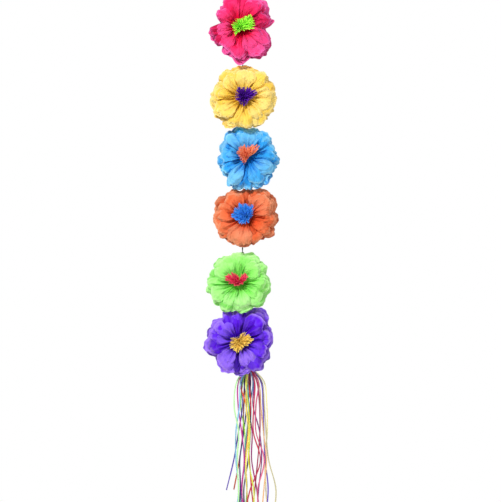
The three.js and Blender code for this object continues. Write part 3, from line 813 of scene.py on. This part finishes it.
def tissue(name, shades):
    """Tissue on the ply's own map: round the flower, then out to its rim."""
    heart, middle, outer, edge, valley = [colour(shade) for shade in shades]
    material = new_material(name)
    tree = material.node_tree
    uv = add_node(tree, "ShaderNodeUVMap", uv_map="ply")
    place = add_node(tree, "ShaderNodeSeparateXYZ", {"Vector": uv.outputs["UV"]})
    # Painted light and shade: deeper by the heart, where plies overlap, and paler at the thin rim
    by_radius = add_node(tree, "ShaderNodeValToRGB", {"Fac": place.outputs["Y"]})
    stops = by_radius.color_ramp.elements
    stops[0].position, stops[0].color = 0.1, heart
    stops[1].position, stops[1].color = 1, edge
    for position, shade in ((0.45, middle), (0.9, outer)):
        stops.new(position).color = shade
    # Painted highlights on ridges and painted light on pale petals, with patches at random, take the colour toward
    # the pale edge
    pale = add_node(tree, "ShaderNodeAttribute", attribute_name="pale")
    pale_patches_and_light = add_node(
        tree, "ShaderNodeMath", {0: pale.outputs["Fac"], 1: MOST_PALE}, operation="MULTIPLY"
    )
    patched = add_node(
        tree,
        "ShaderNodeMix",
        {0: pale_patches_and_light.outputs[0], 6: by_radius.outputs["Color"], 7: edge},
        data_type="RGBA",
    )
    # Painted shade: folds, creases and deep petals take the colour toward the valley colour
    fold = add_node(tree, "ShaderNodeAttribute", attribute_name="fold")
    painted_shade_share = add_node(
        tree,
        "ShaderNodeMapRange",
        {"Value": fold.outputs["Fac"], "From Min": 0.3, "From Max": -0.9, "To Max": MOST_PAINTED_SHADE},
    )
    folded = add_node(
        tree,
        "ShaderNodeMix",
        {0: painted_shade_share.outputs[0], 6: patched.outputs[2], 7: valley},
        data_type="RGBA",
    )
    # The crinkles come from a noise on a ring, so that no seam shows
    turn = add_node(
        tree, "ShaderNodeMath", {0: place.outputs["X"], 1: TURN}, operation="MULTIPLY"
    )
    ring = [
        add_node(tree, "ShaderNodeMath", {0: turn.outputs[0]}, operation=wave)
        for wave in ("COSINE", "SINE")
    ]
    outward = add_node(
        tree,
        "ShaderNodeMath",
        {0: place.outputs["Y"], 1: CRINKLE_STRETCH},
        operation="MULTIPLY",
    )
    on_ring = add_node(
        tree,
        "ShaderNodeCombineXYZ",
        {"X": ring[0].outputs[0], "Y": ring[1].outputs[0], "Z": outward.outputs[0]},
    )
    crinkles = add_node(
        tree,
        "ShaderNodeTexNoise",
        {"Vector": on_ring.outputs[0], "Scale": CRINKLE_RATE, "Detail": 4, "Roughness": 0.5},
        noise_type="RIDGED_MULTIFRACTAL",
    )
    bump = add_node(
        tree,
        "ShaderNodeBump",
        {"Height": crinkles.outputs["Fac"], "Strength": 1, "Distance": 3 * MM},
    )
    paper = add_node(
        tree,
        "ShaderNodeBsdfPrincipled",
        {
            "Base Color": folded.outputs[2],
            "Roughness": 0.95,
            "Specular IOR Level": 0.08,
            "Normal": bump.outputs["Normal"],
        },
    )
    glow = add_node(
        tree,
        "ShaderNodeBsdfTranslucent",
        {"Color": folded.outputs[2], "Normal": bump.outputs["Normal"]},
    )
    sheet = add_node(
        tree, "ShaderNodeMixShader", {0: GLOW_SHARE, 1: paper.outputs[0], 2: glow.outputs[0]}
    )
    add_node(tree, "ShaderNodeOutputMaterial", {"Surface": sheet.outputs[0]})
    return material


# Crepe paper cut in a fringe: matt strips, with painted shade down in the heart and painted light at
# the cut tips, each with its own tone at random, and the grain of the crepe drawn 0.4 mm across
STRIP_TONE_SHARE = 0.55
GRAIN_SIZE = 0.4 * MM


def crepe(name, shades):
    """Crepe whose colour goes along each strip, by the strips' own attributes."""
    root_shade, main, tip = [colour(shade) for shade in shades]
    material = new_material(name)
    tree = material.node_tree
    along = add_node(tree, "ShaderNodeAttribute", attribute_name="along")
    tone = add_node(tree, "ShaderNodeAttribute", attribute_name="tone")
    place = add_node(
        tree,
        "ShaderNodeMath",
        {0: tone.outputs["Fac"], 1: STRIP_TONE_SHARE, 2: along.outputs["Fac"]},
        operation="MULTIPLY_ADD",
    )
    # Painted shade at the roots, down in the heart, and painted light at the tips
    by_place = add_node(tree, "ShaderNodeValToRGB", {"Fac": place.outputs[0]})
    stops = by_place.color_ramp.elements
    stops[0].position, stops[0].color = 0.2, root_shade
    stops[1].position, stops[1].color = 1, tip
    stops.new(0.55).color = main
    surface = add_node(tree, "ShaderNodeTexCoord").outputs["Object"]
    grain = add_node(
        tree, "ShaderNodeTexNoise", {"Vector": surface, "Scale": 1 / GRAIN_SIZE, "Detail": 2}
    )
    bump = add_node(
        tree,
        "ShaderNodeBump",
        {"Height": grain.outputs["Fac"], "Strength": 0.5, "Distance": 0.2 * MM},
    )
    shader = add_node(
        tree,
        "ShaderNodeBsdfPrincipled",
        {
            "Base Color": by_place.outputs["Color"],
            "Roughness": 0.95,
            "Specular IOR Level": 0.08,
            "Normal": bump.outputs["Normal"],
        },
    )
    add_node(tree, "ShaderNodeOutputMaterial", {"Surface": shader.outputs["BSDF"]})
    return material


# Fringe: strips that rise from the neck and bend over to points spread over the heart's outline
STRIP_WIDTH = 2 * MM
STRIP_THICKNESS = 0.3 * MM
STRIP_SPACING = 1.75 * MM
STRIP_POINTS = 8
FRINGE_HEIGHT = 22 * MM
FRINGE_REACH = 30 * MM

# So many strips in a square metre that their spacing alone sets the count
STRIP_DENSITY = 400000

# The arc of a strip: where root, knee and tip stand on the way out to its point in the outline, the
# heights of the knee and of the outermost tips as shares of the fringe's, how much higher a strip may
# stand, and over which shares of the reach the tips get lower
ROOT_SPREAD = 0.06
KNEE_SPREAD = 0.5
TIP_SPREAD = 1.1
KNEE_HEIGHT_SHARE = 0.62
OUTER_HEIGHT_SHARE = 0.82
UNEVEN_SHARE = 0.14
NEAR_SHARE = 0.1
FAR_SHARE = 1.1

# How far tips stray and over what distance that varies, and how narrow a strip is at its root
STRAY_DISTANCE = 9 * MM
STRAY_SIZE = 6.25 * MM
ROOT_WIDTH_SHARE = 0.45
FULL_WIDTH_SHARE = 0.6


def fringe_tree():
    """Geometry Nodes that make a fringe of strips of a flat outline."""
    tree = bpy.data.node_groups.new("fringe", "GeometryNodeTree")
    sockets = [
        ("Geometry", "NodeSocketGeometry"),
        ("Hub", "NodeSocketVector"),
        ("Spacing", "NodeSocketFloat"),
        ("Height", "NodeSocketFloat"),
        ("Reach", "NodeSocketFloat"),
        ("Width", "NodeSocketFloat"),
        ("Thickness", "NodeSocketFloat"),
        ("Seed", "NodeSocketInt"),
        ("Material", "NodeSocketMaterial"),
    ]
    for name, kind in sockets:
        tree.interface.new_socket(name, in_out="INPUT", socket_type=kind)
    tree.interface.new_socket("Geometry", in_out="OUTPUT", socket_type="NodeSocketGeometry")
    given = add_node(tree, "NodeGroupInput").outputs
    scatter = add_node(
        tree,
        "GeometryNodeDistributePointsOnFaces",
        {
            "Mesh": given["Geometry"],
            "Distance Min": given["Spacing"],
            "Density Max": STRIP_DENSITY,
            "Seed": given["Seed"],
        },
        distribute_method="POISSON",
    )
    place = add_node(tree, "GeometryNodeInputPosition")
    with_tip = add_node(
        tree,
        "GeometryNodeStoreNamedAttribute",
        {"Geometry": scatter.outputs["Points"], "Name": "tip", "Value": place.outputs[0]},
        data_type="FLOAT_VECTOR",
    )
    tone = add_node(
        tree, "FunctionNodeRandomValue", {"Min": 0, "Max": 1, "Seed": given["Seed"]}
    )
    tone_value = next(s for s in tone.outputs if s.enabled)
    with_tone = add_node(
        tree,
        "GeometryNodeStoreNamedAttribute",
        {"Geometry": with_tip.outputs[0], "Name": "tone", "Value": tone_value},
    )
    line = add_node(tree, "GeometryNodeCurvePrimitiveLine")
    strand = add_node(
        tree, "GeometryNodeResampleCurve", {"Curve": line.outputs[0], "Count": STRIP_POINTS}
    )
    strands = add_node(
        tree,
        "GeometryNodeInstanceOnPoints",
        {"Points": with_tone.outputs[0], "Instance": strand.outputs[0]},
    )
    loose = add_node(tree, "GeometryNodeRealizeInstances", {"Geometry": strands.outputs[0]})

    # Each strip is a quadratic arc from the neck by a knee to its tip
    factor = add_node(tree, "GeometryNodeSplineParameter").outputs["Factor"]
    tip = add_node(
        tree, "GeometryNodeInputNamedAttribute", {"Name": "tip"}, data_type="FLOAT_VECTOR"
    ).outputs[0]
    chance = add_node(
        tree, "GeometryNodeInputNamedAttribute", {"Name": "tone"}, data_type="FLOAT"
    ).outputs[0]
    flat = add_node(
        tree, "ShaderNodeVectorMath", {0: tip, 1: given["Hub"]}, operation="SUBTRACT"
    ).outputs[0]
    distance = add_node(
        tree, "ShaderNodeVectorMath", {0: flat}, operation="LENGTH"
    ).outputs["Value"]
    reach_share = add_node(
        tree, "ShaderNodeMath", {0: distance, 1: given["Reach"]}, operation="DIVIDE"
    ).outputs[0]
    tip_height_share = add_node(
        tree,
        "ShaderNodeMapRange",
        {
            "Value": reach_share,
            "From Min": NEAR_SHARE,
            "From Max": FAR_SHARE,
            "To Min": 1,
            "To Max": OUTER_HEIGHT_SHARE,
        },
    ).outputs[0]
    uneven = add_node(
        tree,
        "ShaderNodeMath",
        {0: chance, 1: UNEVEN_SHARE, 2: tip_height_share},
        operation="MULTIPLY_ADD",
    ).outputs[0]
    rise = add_node(
        tree, "ShaderNodeMath", {0: uneven, 1: given["Height"]}, operation="MULTIPLY"
    ).outputs[0]
    knee_rise = add_node(
        tree,
        "ShaderNodeMath",
        {0: given["Height"], 1: KNEE_HEIGHT_SHARE},
        operation="MULTIPLY",
    ).outputs[0]

    def ahead(height, spread):
        """A point in front of the hub at a height, and out towards the tip by a share."""
        back = add_node(
            tree, "ShaderNodeMath", {0: height, 1: -1}, operation="MULTIPLY"
        ).outputs[0]
        forward = add_node(tree, "ShaderNodeCombineXYZ", {"Y": back}).outputs[0]
        start = add_node(
            tree, "ShaderNodeVectorMath", {0: given["Hub"], 1: forward}, operation="ADD"
        ).outputs[0]
        return add_node(
            tree,
            "ShaderNodeVectorMath",
            {0: flat, 1: (spread, spread, spread), 2: start},
            operation="MULTIPLY_ADD",
        ).outputs[0]

    root = ahead(0, ROOT_SPREAD)
    knee = ahead(knee_rise, KNEE_SPREAD)
    end = ahead(rise, TIP_SPREAD)

    def between(start, finish):
        """The point between two others, by the share of the way along the strip."""
        mix = add_node(tree, "ShaderNodeMix", data_type="VECTOR")
        sockets = [s for s in mix.inputs if s.enabled]
        for socket, value in zip(sockets, (factor, start, finish)):
            tree.links.new(value, socket)
        return next(s for s in mix.outputs if s.enabled)

    arc = between(between(root, knee), between(knee, end))
    waver = add_node(
        tree,
        "ShaderNodeTexNoise",
        {"Vector": tip, "Scale": 1 / STRAY_SIZE, "Detail": 1},
    ).outputs["Color"]
    centred = add_node(
        tree, "ShaderNodeVectorMath", {0: waver, 1: (0.5, 0.5, 0.5)}, operation="SUBTRACT"
    ).outputs[0]
    looseness = add_node(
        tree, "ShaderNodeMath", {0: factor, 1: STRAY_DISTANCE}, operation="MULTIPLY"
    ).outputs[0]
    stray = add_node(
        tree, "ShaderNodeVectorMath", {0: centred, "Scale": looseness}, operation="SCALE"
    ).outputs[0]
    laid = add_node(
        tree,
        "GeometryNodeSetPosition",
        {"Geometry": loose.outputs[0], "Position": arc, "Offset": stray},
    )
    leaning = add_node(
        tree,
        "ShaderNodeMath",
        {0: chance, 1: TURN, 2: factor},
        operation="MULTIPLY_ADD",
    )
    tilted = add_node(
        tree, "GeometryNodeSetCurveTilt", {"Curve": laid.outputs[0], "Tilt": leaning.outputs[0]}
    )
    taper = add_node(
        tree,
        "ShaderNodeMapRange",
        {
            "Value": factor,
            "From Min": 0,
            "From Max": FULL_WIDTH_SHARE,
            "To Min": ROOT_WIDTH_SHARE,
            "To Max": 1,
        },
    )
    tapered = add_node(
        tree,
        "GeometryNodeSetCurveRadius",
        {"Curve": tilted.outputs[0], "Radius": taper.outputs[0]},
    )
    with_along = add_node(
        tree,
        "GeometryNodeStoreNamedAttribute",
        {"Geometry": tapered.outputs[0], "Name": "along", "Value": factor},
    )
    section = add_node(
        tree,
        "GeometryNodeCurvePrimitiveQuadrilateral",
        {"Width": given["Width"], "Height": given["Thickness"]},
    )
    strips = add_node(
        tree,
        "GeometryNodeCurveToMesh",
        {"Curve": with_along.outputs[0], "Profile Curve": section.outputs[0], "Fill Caps": True},
    )
    whole = add_node(tree, "GeometryNodeRealizeInstances", {"Geometry": strips.outputs[0]})
    dressed = add_node(
        tree,
        "GeometryNodeSetMaterial",
        {"Geometry": whole.outputs[0], "Material": given["Material"]},
    )
    add_node(tree, "NodeGroupOutput", {"Geometry": dressed.outputs[0]})
    return tree


def grown(name, mesh, tree, values):
    """The mesh that a Geometry Nodes tree makes of another mesh."""
    carrier = bpy.data.objects.new(name, mesh)
    scene.collection.objects.link(carrier)
    modifier = carrier.modifiers.new(name, "NODES")
    modifier.node_group = tree
    for item in tree.interface.items_tree:
        if item.in_out == "INPUT" and item.name in values:
            modifier[item.identifier] = values[item.name]
    depsgraph = bpy.context.evaluated_depsgraph_get()
    result = bpy.data.meshes.new_from_object(
        carrier.evaluated_get(depsgraph), preserve_all_data_layers=True, depsgraph=depsgraph
    )
    result.name = name
    carrier.modifiers.remove(modifier)
    bpy.data.objects.remove(carrier)
    return result


# The gathered butt of a fringe: flutes round it, a chamfer at its rear end, and how near to that end
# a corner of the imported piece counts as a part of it
NECK_STEPS = 56
NECK_FLUTES = 14
FLUTE_SHARE = 0.06
NECK_CHAMFER = 0.4 * MM
NECK_END_SHARE = 0.9
NECK_END_DEPTH = 0.1 * MM


def neck_of(node):
    """Hub of a flower: the middle of the fringe's rear end, where its neck sits in the wire."""
    points = [vertex.co for vertex in frame["nodes"][node].data.vertices]
    rear = max(point.y for point in points)
    end = [point for point in points if point.y > rear - NECK_END_DEPTH]
    x = (min(point.x for point in end) + max(point.x for point in end)) / 2
    z = (min(point.z for point in end) + max(point.z for point in end)) / 2
    return x, rear, z


def add_neck(mesh, x, rear, z, front):
    """Adds the gathered butt of the fringe, a fluted plug from its rear end to the heart."""
    rings = []
    build = bmesh.new()
    build.from_mesh(mesh)
    for y, scale in ((rear, NECK_END_SHARE), (rear - NECK_CHAMFER, 1), (front, 1)):
        ring = []
        for step in range(NECK_STEPS):
            angle = TURN * step / NECK_STEPS
            flute = 1 - FLUTE_SHARE + FLUTE_SHARE * math.cos(NECK_FLUTES * angle)
            radius = NECK_RADIUS * scale * flute
            ring.append(
                build.verts.new((x + radius * math.cos(angle), y, z + radius * math.sin(angle)))
            )
        rings.append(ring)
    for near, far in zip(rings, rings[1:]):
        for step in range(NECK_STEPS):
            after = (step + 1) % NECK_STEPS
            build.faces.new((near[step], far[step], far[after], near[after]))
    build.faces.new(rings[0])
    build.faces.new(list(reversed(rings[-1])))
    build.to_mesh(mesh)
    build.free()


# Flowers: the fringe's strips start in front of the foremost ply, and its neck reaches in among them
STRIPS_AHEAD = 1
NECK_OVERLAP = 2 * MM

fringe_nodes = fringe_tree()
for flower in FLOWERS:
    name = flower["name"]
    body = f"{name}_flower"
    x, rear, z = neck_of(f"{name}_fringe")
    hub = Vector((x, 0, z))
    paper = tissue(f"tissue paper {name}", flower["tissue"])
    for part in ("back_petals", "middle_petals", "front_petals"):
        node = f"{name}_{part}"
        mesh = petal_mesh(f"{node}_tissue", flower, part, hub)
        new_piece(f"{node}_tissue", mesh, body, [node], paper)

    strips_start = Vector((x, -(PLIES[-1]["start"] + STRIPS_AHEAD) * MM, z))
    outline = bpy.data.meshes.new(f"{name}_heart")
    outline.from_pydata(
        [strips_start + Vector((across * MM, 0, up * MM)) for across, up in flower["heart"]],
        [],
        [tuple(range(len(flower["heart"])))],
    )
    crepe_paper = crepe(f"crepe paper {name}", flower["fringe"])
    values = {
        "Hub": strips_start,
        "Spacing": STRIP_SPACING,
        "Height": FRINGE_HEIGHT,
        "Reach": FRINGE_REACH,
        "Width": STRIP_WIDTH,
        "Thickness": STRIP_THICKNESS,
        "Seed": flower["seed"],
        "Material": crepe_paper,
    }
    mesh = grown(f"{name}_fringe_strips", outline, fringe_nodes, values)
    add_neck(mesh, x, rear, z, strips_start.y - NECK_OVERLAP)
    new_piece(
        f"{name}_fringe_strips", mesh, body, [f"{name}_fringe"], crepe_paper
    )


# Wires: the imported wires, swollen by what the rounding of their corners then takes off. Florist's
# wire covered in green paper tape, which gives it a matt, slightly uneven green, and turns of tape
# that lap about 5 mm apart. A diagonal wave has these radians for each unit of its scale.
WIRE_SWELL = 0.35 * MM
MERGE_DISTANCE = 0.002 * MM
ROUNDING_LEVELS = 2
BLOTCH_SIZE = 3.85 * MM
TAPE_LAP = 5.24 * MM
WAVE_RADIANS = 10


def covered_wire():
    material = new_material("paper-covered florist's wire")
    tree = material.node_tree
    place = add_node(tree, "ShaderNodeTexCoord").outputs["Object"]
    blotches = add_node(
        tree, "ShaderNodeTexNoise", {"Vector": place, "Scale": 1 / BLOTCH_SIZE, "Detail": 4}
    )
    tones = add_node(tree, "ShaderNodeValToRGB", {"Fac": blotches.outputs["Fac"]})
    stops = tones.color_ramp.elements
    stops[0].position, stops[0].color = 0.3, colour("0c2016")
    stops[1].position, stops[1].color = 0.7, colour("204430")
    lap_rate = TURN / (WAVE_RADIANS * TAPE_LAP)
    laps = add_node(
        tree,
        "ShaderNodeTexWave",
        {"Vector": place, "Scale": lap_rate, "Distortion": 2, "Detail": 1},
        bands_direction="DIAGONAL",
    )
    bump = add_node(
        tree,
        "ShaderNodeBump",
        {"Height": laps.outputs["Fac"], "Strength": 0.4, "Distance": 0.15 * MM},
    )
    shader = add_node(
        tree,
        "ShaderNodeBsdfPrincipled",
        {
            "Base Color": tones.outputs["Color"],
            "Roughness": 0.62,
            "Normal": bump.outputs["Normal"],
        },
    )
    add_node(tree, "ShaderNodeOutputMaterial", {"Surface": shader.outputs["BSDF"]})
    return material


def swollen_copy(node):
    """A packed wire's mesh, with its corners joined, and swollen along its normals."""
    build = bmesh.new()
    build.from_mesh(frame["nodes"][node].data)
    bmesh.ops.remove_doubles(build, verts=build.verts, dist=MERGE_DISTANCE)
    bmesh.ops.recalc_face_normals(build, faces=build.faces)
    build.normal_update()
    for vertex in build.verts:
        vertex.co += vertex.normal * WIRE_SWELL
    mesh = bpy.data.meshes.new(node)
    build.to_mesh(mesh)
    build.free()
    return mesh


wire_material = covered_wire()
bodies = {
    node: body for body, nodes in frame["record"]["behaviour"]["bodies"].items() for node in nodes
}
wires = [node for node in frame["nodes"] if "wire" in node or node == "ribbon_binding"]
for node in wires:
    mesh = swollen_copy(node)
    piece = new_piece(
        f"{node}_covered", mesh, bodies[node], [node], wire_material
    )
    round_off = piece.modifiers.new("round", "SUBSURF")
    round_off.levels = ROUNDING_LEVELS
    round_off.render_levels = ROUNDING_LEVELS
    mesh.shade_smooth()


# Floor: a pale sheet at a gap below the tail, which keeps the swag's shadow and fades to the white
# backdrop between two distances from the swag
FLOOR_HALF = 8
FLOOR_GAP = 0.07
FADE_START = 0.5
FADE_END = 1.2


def pale_floor():
    material = new_material("pale studio floor")
    tree = material.node_tree
    place = add_node(tree, "ShaderNodeTexCoord").outputs["Object"]
    on_floor = add_node(
        tree, "ShaderNodeVectorMath", {0: place, 1: (1, 1, 0)}, operation="MULTIPLY"
    ).outputs[0]
    distance = add_node(
        tree, "ShaderNodeVectorMath", {0: on_floor}, operation="LENGTH"
    ).outputs["Value"]
    fade = add_node(
        tree,
        "ShaderNodeMapRange",
        {"Value": distance, "From Min": FADE_START, "From Max": FADE_END},
        interpolation_type="SMOOTHSTEP",
    )
    matt = add_node(
        tree,
        "ShaderNodeBsdfPrincipled",
        {"Base Color": colour("eceae6"), "Roughness": 0.8, "Specular IOR Level": 0.2},
    )
    white = add_node(tree, "ShaderNodeEmission", {"Color": (1, 1, 1, 1), "Strength": 1})
    seen = add_node(tree, "ShaderNodeLightPath").outputs["Is Camera Ray"]
    shown = add_node(
        tree, "ShaderNodeMath", {0: fade.outputs[0], 1: seen}, operation="MULTIPLY"
    )
    mix = add_node(
        tree, "ShaderNodeMixShader", {0: shown.outputs[0], 1: matt.outputs[0], 2: white.outputs[0]}
    )
    add_node(tree, "ShaderNodeOutputMaterial", {"Surface": mix.outputs[0]})
    return material


floor_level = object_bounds()[0][2] - FLOOR_GAP
floor_mesh = bpy.data.meshes.new("floor")
corners = [(-FLOOR_HALF, -FLOOR_HALF), (FLOOR_HALF, -FLOOR_HALF)]
corners += [(FLOOR_HALF, FLOOR_HALF), (-FLOOR_HALF, FLOOR_HALF)]
floor_mesh.from_pydata([(x, y, floor_level) for x, y in corners], [], [(0, 1, 2, 3)])
floor_mesh.materials.append(pale_floor())
floor = bpy.data.objects.new("floor", floor_mesh)
scene.collection.objects.link(floor)

# Light: a white room seen directly or in a reflection, with a plain grey fill. Each lamp has its
# place, its size in metres and its watts.
FILL = 0.4
MIDDLE = (0, 0, -0.6)
LAMPS = [
    ("key", (-1.1, -2.4, 1.3), 0.6, 98),
    ("side", (2.4, -1.6, 0.2), 1.5, 18),
    ("back", (0.6, 2.4, 0.9), 1.5, 25),
]
world = bpy.data.worlds.new("studio")
scene.world = world
world.use_nodes = True
world.node_tree.nodes.clear()
path = add_node(world.node_tree, "ShaderNodeLightPath").outputs
seen = path["Is Camera Ray"]
for ray in ("Is Glossy Ray", "Is Transmission Ray"):
    seen = add_node(
        world.node_tree, "ShaderNodeMath", {0: seen, 1: path[ray]}, operation="MAXIMUM"
    ).outputs[0]
fill = add_node(world.node_tree, "ShaderNodeBackground", {"Color": (1, 1, 1, 1), "Strength": FILL})
backdrop = add_node(world.node_tree, "ShaderNodeBackground", {"Color": (1, 1, 1, 1), "Strength": 1})
room = add_node(
    world.node_tree, "ShaderNodeMixShader", {0: seen, 1: fill.outputs[0], 2: backdrop.outputs[0]}
)
add_node(world.node_tree, "ShaderNodeOutputWorld", {"Surface": room.outputs[0]})


for name, place, size, watts in LAMPS:
    data = bpy.data.lights.new(name, "AREA")
    data.shape = "DISK"
    data.size = size
    data.energy = watts
    lamp = bpy.data.objects.new(name, data)
    lamp.location = place
    lamp.rotation_euler = (Vector(MIDDLE) - Vector(place)).to_track_quat("-Z", "Y").to_euler()
    scene.collection.objects.link(lamp)

scene.view_settings.view_transform = "Standard"
